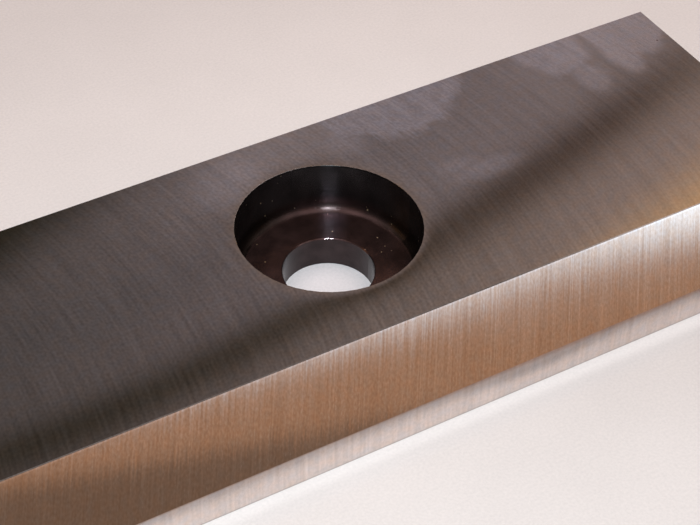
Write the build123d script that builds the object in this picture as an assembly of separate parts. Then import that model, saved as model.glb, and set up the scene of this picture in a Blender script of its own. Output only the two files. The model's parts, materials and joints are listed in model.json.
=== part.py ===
from build123d import *
import os
from math import radians, tan

# Counter knife: one ground steel bar, bolted down, that a machine's moving blades cut against.
# Sizes are in millimetres. X runs along the knife, +Y is its clamped back, -Y its cutting side
# and +Z is up. The origin is the middle of the underside.

# Bar
length = 420.0
width = 76.0  # from the back face to the cutting edge
thickness = 20.0
land_height = 8.0  # upright land below the bevel, whose lower edge does the cutting
bevel_angle = 45.0  # slope of the bevel down from the top face, in degrees
edge_break = 0.15  # 45 degree break on the edges that don't cut

# Bolt holes, each with a recess that takes the bolt's head below the top face
hole_count = 2
hole_pitch = 210.0
hole_to_back = 32.0  # from a hole's axis to the back face
bolt_hole_diameter = 20.0
recess_diameter = 40.0
recess_depth = 12.5
recess_corner_radius = 2.0  # left by the counterboring tool round the recess's floor
mouth_break = 0.1  # what the last grind of the top face leaves of the recess's break
rim_break = 0.2  # 45 degree break at both ends of the bolt hole

# Sizes that follow from those above
front = -width / 2
back = width / 2
bevel_run = (thickness - land_height) / tan(radians(bevel_angle))
recess_floor = thickness - recess_depth
cut_past = 1.0  # how far a cutter runs past the faces that it opens


def ground_bar():
    """The bar's section, carried along X, with its edges broken except at the cutting side."""
    outline = Polyline(
        (front, 0),
        (back, 0),
        (back, thickness),
        (front + bevel_run, thickness),
        (front, land_height),
        close=True,
    )
    bar = extrude(make_face(Plane.YZ * outline), amount=length / 2, both=True)
    long_edges = bar.edges().filter_by(Axis.X)
    back_edges = long_edges.group_by(Axis.Y)[-1]
    top_edges = long_edges.group_by(Axis.Z)[-1]
    bevel_top_edge = top_edges.sort_by(Axis.Y)[0]
    end_faces = bar.faces().filter_by(Axis.X)
    end_edges = end_faces[0].edges() + end_faces[1].edges()
    return chamfer([*back_edges, bevel_top_edge, *end_edges], edge_break)


def bolt_hole_cutter():
    """A bolt hole and its head recess: one stepped section, turned about the hole's axis."""
    hole_wall = bolt_hole_diameter / 2
    recess_wall = recess_diameter / 2
    corner_start = recess_wall - recess_corner_radius
    corner_top = recess_floor + recess_corner_radius
    up_to_the_floor = Polyline(
        (0, -cut_past),
        (hole_wall + rim_break + cut_past, -cut_past),
        (hole_wall, rim_break),
        (hole_wall, recess_floor - rim_break),
        (hole_wall + rim_break, recess_floor),
        (corner_start, recess_floor),
    )
    corner = CenterArc((corner_start, corner_top), recess_corner_radius, 270, 90)
    up_to_the_top = Polyline(
        (recess_wall, corner_top),
        (recess_wall, thickness - mouth_break),
        (recess_wall + mouth_break + cut_past, thickness + cut_past),
        (0, thickness + cut_past),
        (0, -cut_past),
    )
    section = make_face(Plane.XZ * (up_to_the_floor + corner + up_to_the_top))
    return revolve(section, Axis.Z)


def hole_centres():
    """The bolt holes stand in one row along the bar, centred on its length."""
    row_length = hole_pitch * (hole_count - 1)
    return [
        (number * hole_pitch - row_length / 2, back - hole_to_back)
        for number in range(hole_count)
    ]


knife = ground_bar()
for centre in hole_centres():
    knife -= Pos(*centre) * bolt_hole_cutter()

os.makedirs("parts", exist_ok=True)
export_step(knife, "parts/counter_knife.step")
print(f"counter_knife: volume {knife.volume / 1000:.1f} cm3, {len(knife.solids())} solid")
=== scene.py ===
import json
import math

import bpy
import numpy as np
from mathutils import Matrix, Vector


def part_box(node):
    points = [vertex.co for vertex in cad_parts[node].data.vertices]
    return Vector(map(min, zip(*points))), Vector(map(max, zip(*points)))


# Counter knife: a ground steel bar with a bevel, an upright land and two counterbored bolt holes.
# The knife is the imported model. This script gives it its finish, a table, light and a camera.
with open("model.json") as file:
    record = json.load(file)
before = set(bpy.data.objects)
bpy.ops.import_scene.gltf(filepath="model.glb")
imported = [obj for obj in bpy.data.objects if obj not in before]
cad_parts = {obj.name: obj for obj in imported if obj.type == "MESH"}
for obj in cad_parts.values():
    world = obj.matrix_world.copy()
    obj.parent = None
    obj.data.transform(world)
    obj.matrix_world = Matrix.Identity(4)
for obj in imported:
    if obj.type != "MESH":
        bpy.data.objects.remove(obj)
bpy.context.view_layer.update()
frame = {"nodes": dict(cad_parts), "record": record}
knife = frame["nodes"]["counter_knife"]
barLow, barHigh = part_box("counter_knife")
mounts = {mount["name"]: mount for mount in frame["record"]["mounts"]}
mm = 0.001
print(f"frame loaded: knife {(barHigh.x - barLow.x) / mm:.0f} mm long")

# Sizes that the finish follows, in mm. The two holes mirror each other.
recess, bolt = mounts["head_recess_2"], mounts["bolt_hole_2"]
holeX, holeY = recess["pos_m"][0] / mm, recess["pos_m"][1] / mm
recessRadius, boltRadius = recess["dims"]["r_mm"], bolt["dims"]["r_mm"]
boreTop = bolt["pos_m"][2] / mm + bolt["dims"]["length_mm"] / 2
recessFloor = boreTop + 0.2  # above the break at the bolt hole's mouth
wallFoot = recess["pos_m"][2] / mm - recess["dims"]["length_mm"] / 2  # above the rounded corner
barTop = barHigh.z / mm
landTop = max(spot.co.z for spot in knife.data.vertices if spot.co.y < barLow.y + 0.01 * mm) / mm


class Nodes:
    # Fills a node tree. A value that is a socket is linked, anything else is written on the node.
    def __init__(self, tree):
        self.tree = tree
        tree.nodes.clear()

    def put(self, kind, inputs=None, **settings):
        node = self.tree.nodes.new(kind)
        for name, value in settings.items():
            setattr(node, name, value)
        for place, value in (inputs or {}).items():
            if isinstance(value, bpy.types.NodeSocket):
                self.tree.links.new(value, node.inputs[place])
            else:
                node.inputs[place].default_value = value
        return node

    def maths(self, operation, *values):
        return self.put("ShaderNodeMath", dict(enumerate(values)), operation=operation).outputs[0]

    def add(self, *values):
        total = values[0]
        for value in values[1:]:
            total = self.maths("ADD", total, value)
        return total

    def take(self, first, second):
        return self.maths("SUBTRACT", first, second)

    def times(self, *values):
        total = values[0]
        for value in values[1:]:
            total = self.maths("MULTIPLY", total, value)
        return total

    def reach(self, x, y):
        # the root of the sum of two squares
        return self.maths("SQRT", self.add(self.times(x, x), self.times(y, y)))

    def ease(self, value, start, end, low=0.0, high=1.0):
        # low at start, high at end, an S curve between
        inputs = {"Value": value, "From Min": start, "From Max": end, "To Min": low, "To Max": high}
        return self.put("ShaderNodeMapRange", inputs, interpolation_type="SMOOTHSTEP").outputs[0]

    def bump(self, value, middle, width):
        # a bell curve: 1 at the middle, about a third one width away
        share = self.maths("DIVIDE", self.take(value, middle), width)
        return self.maths("EXPONENT", self.times(share, share, -1.0))

    def mix(self, share, first, second):
        # first where share is 0, second where it is 1; so do the next two, for vectors and colours
        return self.put("ShaderNodeMix", {0: share, 2: first, 3: second}).outputs[0]

    def noise(self, vector, detail=0.0):
        inputs = {"Vector": vector, "Scale": 1.0, "Detail": detail}
        return self.put("ShaderNodeTexNoise", inputs).outputs[0]

    def wander(self, vector, detail=0.0):
        # noise about zero
        return self.take(self.noise(vector, detail), 0.5)

    def vectors(self, operation, *values):
        node = self.put("ShaderNodeVectorMath", dict(enumerate(values)), operation=operation)
        return node.outputs["Value" if operation == "DOT_PRODUCT" else "Vector"]

    def scaled(self, vector, factor):
        inputs = {"Vector": vector, "Scale": factor}
        return self.put("ShaderNodeVectorMath", inputs, operation="SCALE").outputs["Vector"]

    def join(self, x=0.0, y=0.0, z=0.0):
        return self.put("ShaderNodeCombineXYZ", {0: x, 1: y, 2: z}).outputs[0]

    def split(self, vector):
        return self.put("ShaderNodeSeparateXYZ", {0: vector}).outputs

    def mixVectors(self, share, first, second):
        inputs = {0: share, 4: first, 5: second}
        return self.put("ShaderNodeMix", inputs, data_type="VECTOR").outputs[1]

    def mixColours(self, share, first, second):
        # colours are three numbers or a socket
        inputs = {0: share}
        for place, colour in ((6, first), (7, second)):
            inputs[place] = colour if isinstance(colour, bpy.types.NodeSocket) else (*colour, 1)
        return self.put("ShaderNodeMix", inputs, data_type="RGBA").outputs[2]

    def tinted(self, share, colour, tint):
        # the colour, times the tint where share is 1
        return self.mixColours(share, colour, self.vectors("MULTIPLY", colour, tint))

    def dimmed(self, share, colour, factor):
        # the colour, times one factor where share is 1
        return self.mixColours(share, colour, self.scaled(colour, factor))

    def steps(self, value, places):
        # a colour that follows value through the given (value, colour) places
        start, end = places[0][0], places[-1][0]
        share = self.put("ShaderNodeMapRange", {"Value": value, "From Min": start, "From Max": end})
        ramp = self.put("ShaderNodeValToRGB", {0: share.outputs[0]})
        elements = ramp.color_ramp.elements
        while len(elements) < len(places):
            elements.new(0.5)
        for element, (at, colour) in zip(elements, places):
            element.position = (at - start) / (end - start)
            element.color = (*colour, 1)
        return ramp.outputs[0]


def faceMasks(n, place, normal):
    # Which surface a spot lies on, told by its place in mm and its normal. Each mask is 0 or 1.
    # Straight up nz is 1, straight ahead ny is -1, and on the bevel they are 0.71 and -0.71.
    x, y, z = n.split(place)
    ny, nz = n.split(normal)[1:]
    fromX = n.take(n.maths("ABSOLUTE", x), holeX)
    fromY = n.take(y, holeY)
    radius = n.reach(fromX, fromY)
    facet = 0.03  # takes in the corners of a round wall's facets
    mouth = 0.15  # takes in the break at the recess's mouth
    skin = 0.01  # keeps the top out
    inRecess = n.times(n.maths("LESS_THAN", radius, recessRadius + mouth),
                       n.maths("GREATER_THAN", z, boreTop + facet),
                       n.maths("LESS_THAN", z, barTop - skin))
    inBore = n.times(n.maths("LESS_THAN", radius, boltRadius + facet),
                     n.maths("LESS_THAN", z, boreTop + facet))
    return {
        "x": x, "y": y, "z": z, "fromX": fromX, "fromY": fromY, "radius": radius,
        "recess": inRecess,
        "bore": inBore,
        "hole": n.maths("MAXIMUM", inRecess, inBore),
        "top": n.maths("GREATER_THAN", nz, 0.99),
        "bevel": n.times(n.maths("GREATER_THAN", nz, 0.6), n.maths("LESS_THAN", ny, -0.6)),
        "land": n.maths("LESS_THAN", ny, -0.95),
        "edge": n.times(n.maths("GREATER_THAN", nz, 0.8), n.maths("LESS_THAN", ny, -0.2)),
    }


def byFace(n, mask, top, bevel, land):
    # a value of its own on each of these faces; the other faces are as the top
    return n.mix(mask["land"], n.mix(mask["bevel"], top, bevel), land)


# Ground lines. Lengths are in mm, in the knife's own frame.
grinding = {
    "arcRadius": 138.0,  # of the arcs that the cup wheel left on the top
    "arcCentreY": 3.0,
    "bevelSlant": 24.5,  # degrees between the bevel's lines and straight down the slope
    "bevelFineness": 1.45,  # how much closer the bevel's lines lie
    # width, length and layer of each kind of line
    "kinds": {
        "fine": (0.62, 14.0, 0.0),
        "broad": (1.1, 45.0, 11.0),
        "scratches": (0.6, 0.75, 17.0),  # short strokes between the lines
        "wide": (5.0, 90.0, 23.0),
        "warm": (2.0, 2.0, 31.0),  # mottles of warmer tint
        "leaning": (0.55, 30.0, 41.0),  # lines that lean a little along their own direction
        "bright": (0.42, 90.0, 53.0),  # a few that run bright from end to end
    },
    "brightStart": (0.13, 0.27),  # how strong a line has to be to run bright
    "faceLayers": (0.0, 37.0, 71.0),  # keep the top, the bevel and the land from looking alike
    "calm": 0.6,  # how much of the lines' contrast the far end of the top keeps
    "calmSpan": (90.0, 190.0),
    "cloudsPerMm": 0.22,
}


def lineDirections(n, place, mask):
    # Across and along the ground lines, in mm, and the direction across them.
    # top: arcs x = c + root(R^2 - (y - y0)^2); bevel: straight, slanted; elsewhere upright
    x, y, z = mask["x"], mask["y"], mask["z"]
    away = n.take(y, grinding["arcCentreY"])
    arc = n.maths("SQRT", n.take(grinding["arcRadius"] ** 2, n.times(away, away)))
    slant = math.radians(grinding["bevelSlant"])
    downSlope = Vector((0, -1, -1)).normalized()
    down = n.vectors("DOT_PRODUCT", place, downSlope)
    acrossBevel = n.add(n.times(x, math.cos(slant)), n.times(down, math.sin(slant)))
    alongBevel = n.take(n.times(down, math.cos(slant)), n.times(x, math.sin(slant)))
    across = n.mix(mask["top"], x, n.take(x, arc))
    across = n.mix(mask["bevel"], across, n.times(acrossBevel, grinding["bevelFineness"]))
    along = byFace(n, mask, y, alongBevel, z)

    bevelWay = Vector((1, 0, 0)) * math.cos(slant) + downSlope * math.sin(slant)
    way = n.mixVectors(mask["top"], (1, 0, 0), n.join(1.0, n.maths("DIVIDE", away, arc), 0.0))
    way = n.mixVectors(mask["bevel"], way, bevelWay)
    return across, along, way


def lineLayers(n, place, mask):
    # each kind of line as noise about zero, drawn out along the lines, and the direction across them
    across, along, way = lineDirections(n, place, mask)
    face = byFace(n, mask, *grinding["faceLayers"])
    layers = {"clouds": n.wander(n.scaled(place, grinding["cloudsPerMm"]), 2.0)}
    for name, (width, length, layer) in grinding["kinds"].items():
        layers[name] = n.wander(n.join(n.maths("DIVIDE", across, width),
                                       n.maths("DIVIDE", along, length), n.add(face, layer)))
    layers["bright"] = n.ease(layers["bright"], *grinding["brightStart"])
    calmed = n.ease(mask["x"], *grinding["calmSpan"], 1.0, grinding["calm"])
    calm = n.mix(mask["top"], 1.0, calmed)
    for name in ("fine", "scratches", "leaning"):
        layers[name] = n.times(layers[name], calm)
    return layers, way


# Ground steel. Three values are for the top, the bevel and the land.
finish = {
    "steel": (0.62, 0.58, 0.55),
    # how strongly each kind of line shows in the lightness
    "lightness": {
        "fine": (0.36, 0.19, 0.25),
        "scratches": (0.40, 0.34, 0.20),
        "broad": (0.16, 0.14, 0.16),
        "wide": (0.12, 0.12, 0.12),
        "clouds": (0.10, 0.10, 0.10),
        "bright": (0.05, 0.13, 0.05),
    },
    "warmth": (0.14, 0.12, 0.14),
    "paleness": (0.04, 0.3, 0.04),  # how much cooler a lighter line is
    "anisotropy": 1.0,
    "roughness": 0.2,
    "topRoughness": 0.07,
    "bevelRoughness": 0.05,
    "lineRoughness": 0.03,
    "filmRoughness": 0.03,  # added in the pale ovals
    "fineDepth": 0.0012,
    "broadDepth": 0.003,
    "lean": (0.0005, 0.0036),  # of the leaning lines, on the top and on the bevel
    "rimDip": 0.02,  # how far the top falls off at a recess's mouth, over rimReach
    "rimReach": 1.3,
    # painted reflection: a warm tint where the top rolls off at a recess's mouth
    "rimStain": (1.10, 0.99, 0.84),
    "edgeTone": (0.2, 0.7),  # painted shade that dims the break's glint, between top and bevel: mid bar and far right
    "edgeSpan": (125.0, 175.0),  # x from the one to the other
    "lipTint": (1.15, 1.22, 1.31),  # painted highlight on the bevel just below the break
    "lipSpan": (0.42, 0.24),  # mm below the top where it begins, and where it is full
}


def steelColour(n, mask, layers):
    # lines in lightness and in warmth: red grows and blue falls by the same share
    lightness = 1.0
    for name, shares in finish["lightness"].items():
        lightness = n.add(lightness, n.times(layers[name], byFace(n, mask, *shares)))
    paler = n.times(n.take(lightness, 1.0), byFace(n, mask, *finish["paleness"]))
    warmth = n.take(n.times(layers["warm"], byFace(n, mask, *finish["warmth"])), paler)
    tint = n.join(n.add(1.0, warmth), 1.0, n.take(1.0, warmth))
    return n.vectors("MULTIPLY", n.scaled(finish["steel"], lightness), tint)


def edgeColour(n, mask, steel):
    # painted shade on the narrow break between top and bevel, and a painted highlight on the lip of the
    # bevel below it
    tone = n.ease(mask["x"], *finish["edgeSpan"], *finish["edgeTone"])
    steel = n.dimmed(mask["edge"], steel, tone)
    lipStart, lipFull = (barTop - drop for drop in finish["lipSpan"])
    # painted highlight along the top of the bevel
    lip = n.times(mask["bevel"], n.ease(mask["z"], lipStart, lipFull))
    return n.tinted(lip, steel, finish["lipTint"])


# Painted shade on the land: darker towards its top and towards its right end, a painted reflection of the
# bevel's brown just under the bevel, and a painted dark line along the cutting edge.
landTintAndShade = {
    "tint": (1.05, 0.97, 0.96),
    "tone": (1.05, 0.68),  # low on the land, and at its top
    "fade": (4.0, 0.4),  # mm below its top between which the tone changes
    "patch": (130.0, 14.0, 1.8),  # at this x, this wide, the painted shade reaches this much lower
    "fall": (105.0, 140.0, 0.93),  # painted shade: between these x the land falls to this tone
    "brown": ((0.66, 0.55, 0.48), (0.84, 0.64, 0.53)),  # painted reflection of the bevel's brown, just under the bevel, mid bar and far right
    "brownDepth": (0.65, 1.6),  # how far down it reaches there
    "brownSpan": (75.0, 140.0),  # x from the one to the other
    "footHeight": 0.35,  # of the painted dark line along the cutting edge
    "foot": (0.20, 0.17, 0.17),
    "footShare": 0.45,  # how strongly it shows
}


def landColour(n, mask, steel):
    x, z = mask["x"], mask["z"]
    steel = n.tinted(mask["land"], steel, landTintAndShade["tint"])
    # painted shade: darker towards the top of the land and towards its right end
    patchX, patchWidth, patchDrop = landTintAndShade["patch"]
    level = n.add(z, n.times(n.bump(x, patchX, patchWidth), patchDrop))
    fadeStart, fadeEnd = (landTop - drop for drop in landTintAndShade["fade"])
    fallStart, fallEnd, fallTone = landTintAndShade["fall"]
    tone = n.times(n.ease(level, fadeStart, fadeEnd, *landTintAndShade["tone"]),
                   n.ease(x, fallStart, fallEnd, 1.0, fallTone))
    steel = n.dimmed(mask["land"], steel, tone)
    # painted reflection: the bevel's brown just under the bevel
    farRight = n.ease(x, *landTintAndShade["brownSpan"])
    brown = n.mixColours(farRight, *landTintAndShade["brown"])
    brownEnd = n.take(landTop, n.mix(farRight, *landTintAndShade["brownDepth"]))
    steel = n.tinted(n.times(mask["land"], n.ease(z, brownEnd, landTop)), steel, brown)
    # painted shade: a dark line along the cutting edge
    foot = n.ease(z, landTintAndShade["footHeight"], 0.5 * landTintAndShade["footHeight"])
    share = n.times(mask["land"], foot, landTintAndShade["footShare"])
    return n.mixColours(share, steel, landTintAndShade["foot"])


# Pale, bluer and rougher ovals, and specks, on the top
marks = {
    # centre, half widths, strength and softness of the outline
    "smudges": (
        ((138.5, 39.0), (17.5, 14.0), 0.95, 0.09),
        ((122.5, 29.0), (4.0, 4.5), 0.4, 0.5),
        ((181.3, 36.5), (8.5, 10.6), 1.05, 0.22),
        ((184.2, 22.0), (3.9, 5.6), 0.7, 0.35),
        ((201.4, 37.0), (9.9, 13.2), 1.45, 0.2),
        ((195.8, 26.5), (3.9, 7.8), 1.05, 0.3),
        ((145.5, 5.9), (7.2, 2.6), 0.8, 0.7),
        ((139.5, 10.0), (4.5, 2.0), 0.45, 0.7),
        ((93.0, 27.5), (9.0, 7.0), 0.5, 0.7),
    ),
    "tint": (1.45, 1.53, 1.66),
    "wobblePerMm": 0.15,
    "wobble": 0.5,  # how far the outlines waver
    "combing": 0.4,  # how far the ground lines comb them out
    "streaksPerMm": 0.3,
    "streakNoise": (0.3, 0.65),  # from where it is weakest to where it is strongest
    "streaks": (0.7, 1.1),
    # place and colour
    "specks": (
        ((52.1, 32.3), (0.75, 0.62, 0.60)),
        ((206.3, 26.4), (0.22, 0.10, 0.09)),
    ),
    "speckRadius": 0.3,
}


def paleOvals(n, place, mask, fine):
    # ovals: a spot is inside where its reach, in half widths, wavers below 1
    wobble = n.times(n.wander(n.scaled(place, marks["wobblePerMm"]), 2.0), marks["wobble"])
    wobble = n.add(wobble, n.times(fine, marks["combing"]))
    ovalShare = 0.0
    for (centreX, centreY), (halfX, halfY), strength, softness in marks["smudges"]:
        awayX = n.maths("DIVIDE", n.take(mask["x"], centreX), halfX)
        awayY = n.maths("DIVIDE", n.take(mask["y"], centreY), halfY)
        spread = n.add(n.reach(awayX, awayY), wobble)
        ovalShare = n.maths("MAXIMUM", ovalShare, n.ease(spread, 1 + softness, 1 - softness, 0.0, strength))
    streaks = n.noise(n.scaled(place, marks["streaksPerMm"]), 3.0)
    streaky = n.ease(streaks, *marks["streakNoise"], *marks["streaks"])
    return n.times(ovalShare, streaky, mask["top"])


def speckled(n, mask, steel):
    radius = marks["speckRadius"]
    for (speckX, speckY), colour in marks["specks"]:
        away = n.reach(n.take(mask["x"], speckX), n.take(mask["y"], speckY))
        here = n.times(n.ease(away, radius, 0.5 * radius), mask["top"])
        steel = n.mixColours(here, steel, colour)
    return steel


# Holes: dark scale left by hardening, with dust on it; along one line across the hole a highlight is
# painted on the floor and the rounded corner, and light and shade on the wall
holeFinish = {
    "brightTurn": 33.0,  # degrees from +Y to the line of the painted highlight
    "floor": (0.084, 0.045, 0.040),
    "shine": (0.16, 0.106, 0.12),  # painted highlight: a strip of the floor along the bright line
    "shineReach": (4.2, 0.6),  # mm beside that line where it ends, and where it is full
    "shineFade": (12.0, 15.5, 0.55),  # radii between which it grows, from this share
    "corner": ((0.071, 0.042, 0.041), (0.020, 0.0125, 0.010)),  # painted highlight on the rounded corner: at the bright line, and far beside it
    "cornerReach": (5.0, 15.0),
    "cornerStart": (0.01, 0.1),  # mm above the floor
    "wall": (0.031, 0.0275, 0.028),
    "wallTone": (1.1, 0.68),  # painted light and shade on the wall: far beside the bright line, and at it
    "wallReach": (6.0, 1.0),
    "wallStart": (-0.5, 2.5),  # mm above the corner's end
    # painted shade on the recess just below its mouth, dimming a glint
    "mouthTone": 0.4,
    "mouthSpan": (0.5, 0.2),  # mm below the top, between which the painted shade grows
    "bore": (0.044, 0.031, 0.031),
    "patchesPerMm": 0.25,
    "patchNoise": (0.3, 0.7),  # from where it is darkest to where it is lightest
    "patches": (0.75, 1.25),
    "metal": 0.8,  # the rest is dull oxide
    "roughness": 0.22,
    "floorRoughness": 0.1,
    "boreRoughness": 0.17,
    "pitSize": 0.3,
    "pitDepth": 0.03,
    "dust": (0.38, 0.26, 0.14),
    "dustEvery": 1.5,
    "dustSize": 0.18,
    "dustShare": 0.55,  # of the places that hold a grain
    "dustRoughness": 0.5,
}


def holeColour(n, place, mask):
    z = mask["z"]
    turn = math.radians(holeFinish["brightTurn"])
    aside = n.take(n.times(mask["fromX"], math.cos(turn)), n.times(mask["fromY"], math.sin(turn)))
    aside = n.maths("ABSOLUTE", aside)
    fadeStart, fadeEnd, fadeShare = holeFinish["shineFade"]
    # painted highlight: a lighter strip of the floor along the bright line
    shine = n.times(n.ease(aside, *holeFinish["shineReach"]),
                    n.ease(mask["radius"], fadeStart, fadeEnd, fadeShare, 1.0))
    scaleAndSheen = n.mixColours(shine, holeFinish["floor"], holeFinish["shine"])
    cornerStart, cornerFull = (recessFloor + height for height in holeFinish["cornerStart"])
    aboveFloor = n.ease(z, cornerStart, cornerFull)
    # painted highlight on the rounded corner, strongest at the bright line
    corner = n.mixColours(n.ease(aside, *holeFinish["cornerReach"]), *holeFinish["corner"])
    scaleAndSheen = n.mixColours(aboveFloor, scaleAndSheen, corner)
    wallStart, wallFull = (wallFoot + height for height in holeFinish["wallStart"])
    # painted light and shade on the wall about the bright line
    wallTone = n.ease(aside, *holeFinish["wallReach"], *holeFinish["wallTone"])
    scaleAndSheen = n.mixColours(n.ease(z, wallStart, wallFull), scaleAndSheen, n.scaled(holeFinish["wall"], wallTone))
    # painted shade just below the mouth
    mouthStart, mouthFull = (barTop - drop for drop in holeFinish["mouthSpan"])
    scaleAndSheen = n.scaled(scaleAndSheen, n.ease(z, mouthStart, mouthFull, 1.0, holeFinish["mouthTone"]))
    scaleAndSheen = n.mixColours(mask["bore"], scaleAndSheen, holeFinish["bore"])
    patches = n.noise(n.scaled(place, holeFinish["patchesPerMm"]), 3.0)
    scaleAndSheen = n.scaled(scaleAndSheen, n.ease(patches, *holeFinish["patchNoise"], *holeFinish["patches"]))
    return scaleAndSheen, n.times(mask["recess"], n.take(1.0, aboveFloor))


def dustGrains(n, place, mask):
    # round grains in some cells of a Voronoi pattern; a cell's colour says whether, how pale, how big
    every = holeFinish["dustEvery"]
    cells = n.put("ShaderNodeTexVoronoi", {"Vector": n.scaled(place, 1 / every), "Scale": 1.0})
    draw, paleness, bigness = n.split(cells.outputs["Color"])
    size = n.times(bigness, holeFinish["dustSize"] / every)
    grain = n.maths("LESS_THAN", cells.outputs["Distance"], size)
    dust = n.times(grain, n.maths("GREATER_THAN", draw, 1 - holeFinish["dustShare"]), mask["recess"])
    return dust, paleness


def groundSteel():
    material = bpy.data.materials.new("groundSteel")
    material.use_nodes = True
    n = Nodes(material.node_tree)
    place = n.scaled(n.put("ShaderNodeTexCoord").outputs["Object"], 1 / mm)
    normal = n.put("ShaderNodeNewGeometry").outputs["Normal"]
    mask = faceMasks(n, place, normal)
    layers, way = lineLayers(n, place, mask)
    fine, broad, leaning = layers["fine"], layers["broad"], layers["leaning"]
    ovalShare = paleOvals(n, place, mask, fine)
    pastRim = n.take(mask["radius"], recessRadius)
    nearRim = n.times(n.maths("EXPONENT", n.times(pastRim, -1 / finish["rimReach"])), mask["top"])

    steel = steelColour(n, mask, layers)
    # lighter, bluer steel in the pale ovals
    steel = n.tinted(ovalShare, steel, marks["tint"])
    # painted reflection near each recess's mouth, where the top rolls off
    steel = n.tinted(nearRim, steel, finish["rimStain"])
    steel = landColour(n, mask, steel)
    steel = edgeColour(n, mask, steel)
    steel = speckled(n, mask, steel)
    scaleAndSheen, onFloor = holeColour(n, place, mask)
    dust, paleness = dustGrains(n, place, mask)
    scaleAndSheen = n.mixColours(n.times(dust, paleness), scaleAndSheen, holeFinish["dust"])
    colour = n.mixColours(mask["hole"], steel, scaleAndSheen)

    roughness = n.mix(mask["top"], finish["roughness"], finish["topRoughness"])
    roughness = n.mix(mask["bevel"], roughness, finish["bevelRoughness"])
    roughness = n.add(roughness, n.times(fine, finish["lineRoughness"]),
                      n.times(ovalShare, finish["filmRoughness"]))
    roughness = n.mix(mask["hole"], roughness, holeFinish["roughness"])
    roughness = n.mix(mask["bore"], roughness, holeFinish["boreRoughness"])
    roughness = n.mix(onFloor, roughness, holeFinish["floorRoughness"])
    roughness = n.mix(dust, roughness, holeFinish["dustRoughness"])

    # heights in mm: ground lines, the dip at a recess's mouth, pits in the holes' scale
    ground = n.add(n.times(fine, finish["fineDepth"]), n.times(broad, finish["broadDepth"]),
                   n.times(nearRim, -finish["rimDip"]))
    pits = n.noise(n.scaled(place, 1 / holeFinish["pitSize"]), 1.0)
    height = n.mix(mask["hole"], ground, n.times(pits, holeFinish["pitDepth"]))
    alongWay = n.vectors("CROSS_PRODUCT", way, normal)
    lean = n.times(leaning, n.mix(mask["bevel"], *finish["lean"]),
                   n.maths("MAXIMUM", mask["top"], mask["bevel"]))
    leant = n.vectors("NORMALIZE", n.vectors("ADD", normal, n.scaled(alongWay, lean)))
    relief = n.put("ShaderNodeBump", {"Strength": 1.0, "Distance": mm, "Height": height,
                                      "Normal": leant})

    # the highlight is drawn out across the lines: in a hole, across the turned marks
    flip = n.maths("SIGN", mask["x"])
    turned = n.join(n.times(mask["fromY"], -1.0), n.times(mask["fromX"], flip))
    holeWay = n.vectors("NORMALIZE", n.vectors("CROSS_PRODUCT", turned, normal))
    way = n.mixVectors(mask["hole"], way, holeWay)
    shader = n.put("ShaderNodeBsdfPrincipled", {
        "Base Color": colour, "Roughness": roughness, "Normal": relief.outputs[0], "Tangent": way,
        "Metallic": n.mix(mask["hole"], 1.0, n.times(n.take(1.0, dust), holeFinish["metal"])),
    })
    shader.inputs["Anisotropic"].default_value = finish["anisotropy"]
    n.put("ShaderNodeOutputMaterial", {"Surface": shader.outputs[0]})
    return material


knife.data.materials.clear()
knife.data.materials.append(groundSteel())
print("knife finished")


# Table. Lengths are in mm where the name or note says no other unit.
table = {
    "radius": 40.0,  # in metres, far past every view
    "innerRadius": 0.05,  # in metres, of the smallest ring
    "rings": 48,
    "spokes": 96,
    "gap": 0.02,
    "colour": (0.83, 0.765, 0.745),
    "clean": (0.95, 0.87, 0.875),  # painted light under the knife, seen through its holes
    "roughness": 0.6,
    "grain": (1.6, 0.21),  # how fine, per mm, and how strong
    "clouds": (0.06, 0.06),
    "glow": 0.145,  # how much brighter it is where the land throws light on it
    "glowSpan": (4.2, 1.3),  # in front of the knife, where it ends, and where it is full
    "glowEnds": 5.0,  # it fades over this length at the knife's ends
    "dim": 0.10,  # how much darker in front of the knife's right end
    "dimStart": (2.0, 5.0),  # in front of the knife
    "dimEnd": (38.0, 10.0),
    "dimLeft": (80.0, 175.0),  # x
    "dimRight": (290.0, 190.0),
    "behind": 0.94,  # brightness far behind the knife
    "behindSpan": (85.0, 140.0),  # y from near to far
    "behindStart": (20.0, 60.0),  # y, under the knife and just behind it
    "patchPlace": (140.0, 55.0),  # a brighter patch behind the knife
    "patchHalf": (60.0, 40.0),
    "patch": 0.065,
}


def tableTop():
    # A disc: the radius grows by the same share from ring to ring, the angle runs once round.
    rings, spokes = table["rings"], table["spokes"]
    radii = np.geomspace(table["innerRadius"], table["radius"], rings)[:, None]
    angles = np.linspace(0, 2 * np.pi, spokes, endpoint=False)
    height = -table["gap"] * mm
    level = np.full((rings, spokes), height)
    grid = np.stack([radii * np.cos(angles), radii * np.sin(angles), level], axis=-1).reshape(-1, 3)
    corners = np.vstack([grid, [[0, 0, height]]])
    ring, spoke = np.meshgrid(np.arange(rings - 1), np.arange(spokes), indexing="ij")
    after = (spoke + 1) % spokes
    inner, outer = ring * spokes, (ring + 1) * spokes
    quads = np.stack([inner + spoke, outer + spoke, outer + after, inner + after], axis=-1).reshape(-1, 4)
    first = np.arange(spokes)
    middle = np.stack([np.full(spokes, len(grid)), first, (first + 1) % spokes], axis=-1)
    mesh = bpy.data.meshes.new("table")
    mesh.from_pydata(corners.tolist(), [], quads.tolist() + middle.tolist())
    top = bpy.data.objects.new("table", mesh)
    bpy.context.scene.collection.objects.link(top)
    return top


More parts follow.
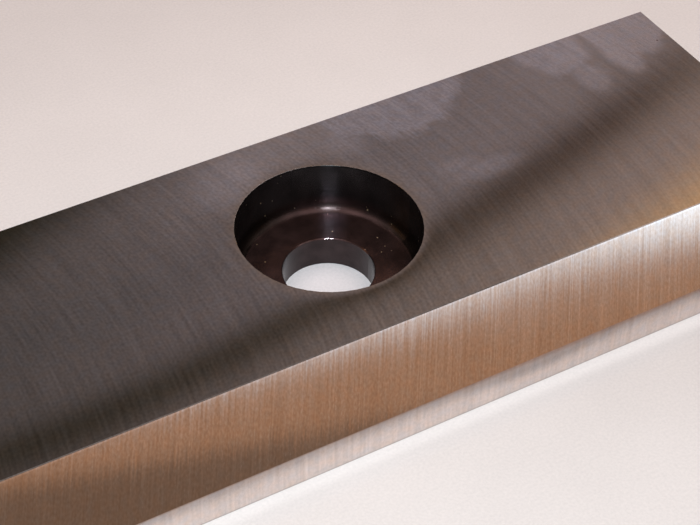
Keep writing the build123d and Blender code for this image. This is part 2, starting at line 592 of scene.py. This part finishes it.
def tableShade(n, x, y):
    # light that the land throws on the table, a shade near the knife's right end, and softly uneven
    # light behind the knife
    out = n.take(barLow.y / mm, y)  # how far in front of the knife
    end = barHigh.x / mm
    beside = n.times(n.maths("GREATER_THAN", out, 0.0),
                     n.ease(n.maths("ABSOLUTE", x), end, end - table["glowEnds"]))
    glow = n.times(beside, n.ease(out, *table["glowSpan"]), table["glow"])
    dim = n.times(n.ease(out, *table["dimStart"]), n.ease(out, *table["dimEnd"]),
                  n.ease(x, *table["dimLeft"]), n.ease(x, *table["dimRight"]), table["dim"])
    patchX, patchY = table["patchPlace"]
    halfX, halfY = table["patchHalf"]
    patch = n.times(n.bump(x, patchX, halfX), n.bump(y, patchY, halfY), table["patch"])
    behind = n.add(n.ease(y, *table["behindSpan"], 1.0, table["behind"]), patch)
    behind = n.mix(n.ease(y, *table["behindStart"]), 1.0, behind)
    return n.times(n.take(n.add(1.0, glow), dim), behind)


def tableFinish():
    material = bpy.data.materials.new("paleTable")
    material.use_nodes = True
    n = Nodes(material.node_tree)
    place = n.scaled(n.put("ShaderNodeTexCoord").outputs["Object"], 1 / mm)
    x, y = n.split(place)[:2]
    covered = n.times(n.maths("LESS_THAN", n.maths("ABSOLUTE", x), barHigh.x / mm),
                      n.maths("LESS_THAN", n.maths("ABSOLUTE", y), barHigh.y / mm))
    # painted light: the table under the knife is made lighter
    paperAndLight = n.mixColours(covered, table["colour"], table["clean"])
    texture = 1.0
    for perMm, strength in (table["grain"], table["clouds"]):
        texture = n.add(texture, n.times(n.wander(n.scaled(place, perMm), 2.0), strength))
    shade = n.times(texture, tableShade(n, x, y))
    shader = n.put("ShaderNodeBsdfPrincipled", {"Base Color": n.scaled(paperAndLight, shade)})
    shader.inputs["Roughness"].default_value = table["roughness"]
    n.put("ShaderNodeOutputMaterial", {"Surface": shader.outputs[0]})
    return material


floor = tableTop()
floor.data.materials.append(tableFinish())
print("table laid")


# Room light: soft strips that run along the knife, told apart by their angle about its length.
# The angle is 0 at the horizon behind the knife, 90 overhead and 180 at the horizon in front;
# front is the same angle counted from the front. side is how far a direction leans along the knife.

# Behind: a wall that is lighter to the sides, with a dark rail along it that drops to the sides
backWall = {
    # colours by side, below the rail and above it
    "lower": ((0.19, (0.115, 0.098, 0.097)), (0.25, (0.142, 0.119, 0.119)),
              (0.31, (0.168, 0.139, 0.143)), (0.42, (0.236, 0.197, 0.207)),
              (0.47, (0.252, 0.205, 0.213)), (0.51, (0.268, 0.218, 0.222)),
              (0.55, (0.297, 0.234, 0.232))),
    "upper": ((0.19, (0.110, 0.090, 0.086)), (0.31, (0.176, 0.141, 0.133)),
              (0.39, (0.230, 0.182, 0.168)), (0.47, (0.288, 0.222, 0.202)),
              (0.51, (0.314, 0.240, 0.220)), (0.55, (0.345, 0.264, 0.243))),
    "glow": {"angles": (44.2, 43.2), "side": 0.35, "width": 0.042, "strength": 0.62},
    "dim": {"angle": 43.6, "height": 1.0, "side": 0.425, "width": 0.035, "strength": 0.17},
    "cool": {"tint": (0.89, 0.925, 0.95), "angle": 45.7, "height": 0.7, "sides": (0.34, 0.28)},
    "corner": {"colour": (0.024, 0.020, 0.012), "angles": (48.6, 46.4), "drop": 20.0},
    "gold": {"colour": (1.12, 0.64, 0.25), "angles": (60.6, 66.0), "drop": 25.0},
    "rail": {
        "colours": ((0.25, (0.037, 0.030, 0.020)), (0.37, (0.062, 0.046, 0.033)),
                    (0.43, (0.074, 0.052, 0.040)), (0.50, (0.054, 0.031, 0.021)),
                    (0.53, (0.056, 0.034, 0.024)), (0.56, (0.140, 0.100, 0.080))),
        "angle": 48.9,  # at the side where it is highest
        "highest": 0.19,
        "drop": 32.0,  # degrees, times the square of the distance from there
        "wallBlur": 0.7,  # how softly the wall changes behind it
        "lowerWidth": 0.7,
        "upperWidth": (0.72, 1.15),
        "widthBlur": 0.4,
        "upperSides": (0.3, 0.45),  # between which the upper width grows
        "strength": 0.88,
    },
}


def backOfRoom(n, angle, side):
    glow, dim, cool = backWall["glow"], backWall["dim"], backWall["cool"]
    corner, gold, rail = backWall["corner"], backWall["gold"], backWall["rail"]
    glowing = n.times(n.ease(angle, *glow["angles"]), n.bump(side, glow["side"], glow["width"]))
    dimming = n.times(n.bump(angle, dim["angle"], dim["height"]), n.bump(side, dim["side"], dim["width"]))
    light = n.add(1.0, n.times(glowing, glow["strength"]), n.times(dimming, -dim["strength"]))
    lower = n.scaled(n.steps(side, backWall["lower"]), light)
    cooled = n.times(n.bump(angle, cool["angle"], cool["height"]), n.ease(side, *cool["sides"]))
    lower = n.tinted(cooled, lower, cool["tint"])
    inCorner = n.ease(n.add(angle, n.times(side, corner["drop"])), *corner["angles"])
    lower = n.mixColours(inCorner, lower, corner["colour"])
    golden = n.ease(n.add(angle, n.times(side, gold["drop"])), *gold["angles"])
    upper = n.mixColours(golden, n.steps(side, backWall["upper"]), gold["colour"])

    lean = n.take(side, rail["highest"])
    fromRail = n.take(angle, n.take(rail["angle"], n.times(lean, lean, rail["drop"])))
    wall = n.mixColours(n.ease(fromRail, -rail["wallBlur"], rail["wallBlur"]), lower, upper)
    upperWidth = n.ease(side, *rail["upperSides"], *rail["upperWidth"])
    width = n.ease(fromRail, -rail["widthBlur"], rail["widthBlur"], rail["lowerWidth"], upperWidth)
    onRail = n.times(n.bump(fromRail, 0.0, width), rail["strength"])
    return n.mixColours(onRail, wall, n.steps(side, rail["colours"]))


# In front: brown low down, tan above it, and a window's light over that; both edges drop to the sides
frontWall = {
    "brown": (0.225, 0.138, 0.094),
    "tan": (0.482, 0.262, 0.156),
    "tanFoot": (42.4, 13.0),  # angle at side 0, and how fast it drops
    "tanBlur": 0.45,
    "window": (1.76, 1.86, 1.98),
    "windowFoot": (41.87, 6.5),
    "windowTop": (42.6, 40.8),
    "windowTopSides": (0.45, 0.56),  # between which its top drops
    "windowStart": (0.10, 0.16),  # sides
    "windowEnd": (0.70, 0.62),
    "veil": {"height": 0.45, "sides": (0.38, 0.45), "strength": 0.03},  # haze about the window's foot
}


def frontOfRoom(n, front, side):
    tanAngle, tanDrop = frontWall["tanFoot"]
    fromTan = n.take(front, n.take(tanAngle, n.times(side, tanDrop)))
    inTan = n.ease(fromTan, -frontWall["tanBlur"], frontWall["tanBlur"])
    wall = n.mixColours(inTan, frontWall["brown"], frontWall["tan"])
    footAngle, footDrop = frontWall["windowFoot"]
    foot = n.take(footAngle, n.times(side, footDrop))
    top = n.ease(side, *frontWall["windowTopSides"], *frontWall["windowTop"])
    opening = n.times(n.ease(front, foot, top), n.ease(side, *frontWall["windowStart"]),
                      n.ease(side, *frontWall["windowEnd"]))
    veil = frontWall["veil"]
    haze = n.times(n.bump(front, foot, veil["height"]), n.ease(side, *veil["sides"]), veil["strength"])
    return n.mixColours(n.add(opening, haze), wall, frontWall["window"])


room = {
    "backdrop": (0.62, 0.55, 0.53),  # what a camera sees past the table
    "pale": (0.20, 0.168, 0.16),
    "ceiling": (1.21, 1.04, 1.0),
    "ceilingStart": (0.66, 0.78),  # how high a direction points
    "backStart": (24.0, 32.0),  # angles
    "backEnd": (61.0, 53.0),
    "frontStart": (22.0, 30.0),
    "frontEnd": (48.5, 45.5),
}


def roomLight():
    world = bpy.data.worlds.new("room")
    world.use_nodes = True
    n = Nodes(world.node_tree)
    direction = n.vectors("NORMALIZE", n.put("ShaderNodeTexCoord").outputs["Generated"])
    dx, dy, dz = n.split(direction)
    side = n.maths("ABSOLUTE", dx)
    height = n.maths("MAXIMUM", dz, 0.0)
    angle = n.maths("DEGREES", n.maths("ARCTAN2", height, dy))
    front = n.take(180.0, angle)

    sky = n.mixColours(n.ease(height, *room["ceilingStart"]), room["pale"], room["ceiling"])
    behind = n.times(n.ease(angle, *room["backStart"]), n.ease(angle, *room["backEnd"]))
    sky = n.mixColours(behind, sky, backOfRoom(n, angle, side))
    ahead = n.times(n.ease(front, *room["frontStart"]), n.ease(front, *room["frontEnd"]))
    sky = n.mixColours(ahead, sky, frontOfRoom(n, front, side))
    seen = n.put("ShaderNodeLightPath").outputs["Is Camera Ray"]
    sky = n.mixColours(seen, sky, room["backdrop"])
    light = n.put("ShaderNodeBackground", {"Color": sky, "Strength": 1.0})
    n.put("ShaderNodeOutputWorld", {"Surface": light.outputs[0]})
    return world


bpy.context.scene.world = roomLight()
print("room lit")


# Camera, and a small soft lamp just above it. Lengths are in mm.
viewpoint = {
    "azimuth": 30.777,  # degrees from +Y towards +X that the camera looks
    "elevation": 42.735,
    "roll": -1.288,
    "target": (103.243, -5.897, 20.0),
    "distance": 381.578,
    "lens": 95.075,
    "nearest": 10.0,  # what it sees lies between these
    "farthest": 200000.0,
}
lamp = {
    "above": 50.0,  # over the camera
    "behind": 20.0,
    "size": 28.0,
    "power": 0.85,
    "colour": (0.71, 0.97, 1.06),
}


def makeCamera():
    turn, tilt, roll = (math.radians(viewpoint[name]) for name in ("azimuth", "elevation", "roll"))
    ahead = Vector((math.sin(turn) * math.cos(tilt), math.cos(turn) * math.cos(tilt), -math.sin(tilt)))
    level = Vector((math.cos(turn), -math.sin(turn), 0))
    down = ahead.cross(level)
    right = level * math.cos(roll) + down * math.sin(roll)
    up = level * math.sin(roll) - down * math.cos(roll)
    spot = (Vector(viewpoint["target"]) - ahead * viewpoint["distance"]) * mm
    data = bpy.data.cameras.new("camera")
    data.lens = viewpoint["lens"]
    data.clip_start = viewpoint["nearest"] * mm
    data.clip_end = viewpoint["farthest"] * mm
    camera = bpy.data.objects.new("camera", data)
    turned = Matrix((right, up, -ahead)).transposed()
    camera.matrix_world = Matrix.Translation(spot) @ turned.to_4x4()
    bpy.context.scene.collection.objects.link(camera)
    bpy.context.scene.camera = camera
    return camera


def makeLamp(camera):
    data = bpy.data.lights.new("lamp", "AREA")
    data.shape = "DISK"
    data.size = lamp["size"] * mm
    data.energy = lamp["power"]
    data.color = lamp["colour"]
    light = bpy.data.objects.new("lamp", data)
    light.location = camera.matrix_world @ (Vector((0, lamp["above"], lamp["behind"])) * mm)
    away = light.location - Vector(viewpoint["target"]) * mm
    light.rotation_euler = away.to_track_quat("Z", "Y").to_euler()
    light.visible_camera = False
    bpy.context.scene.collection.objects.link(light)


makeLamp(makeCamera())
print("camera and lamp placed")
bpy.context.scene.view_settings.view_transform = "Standard"
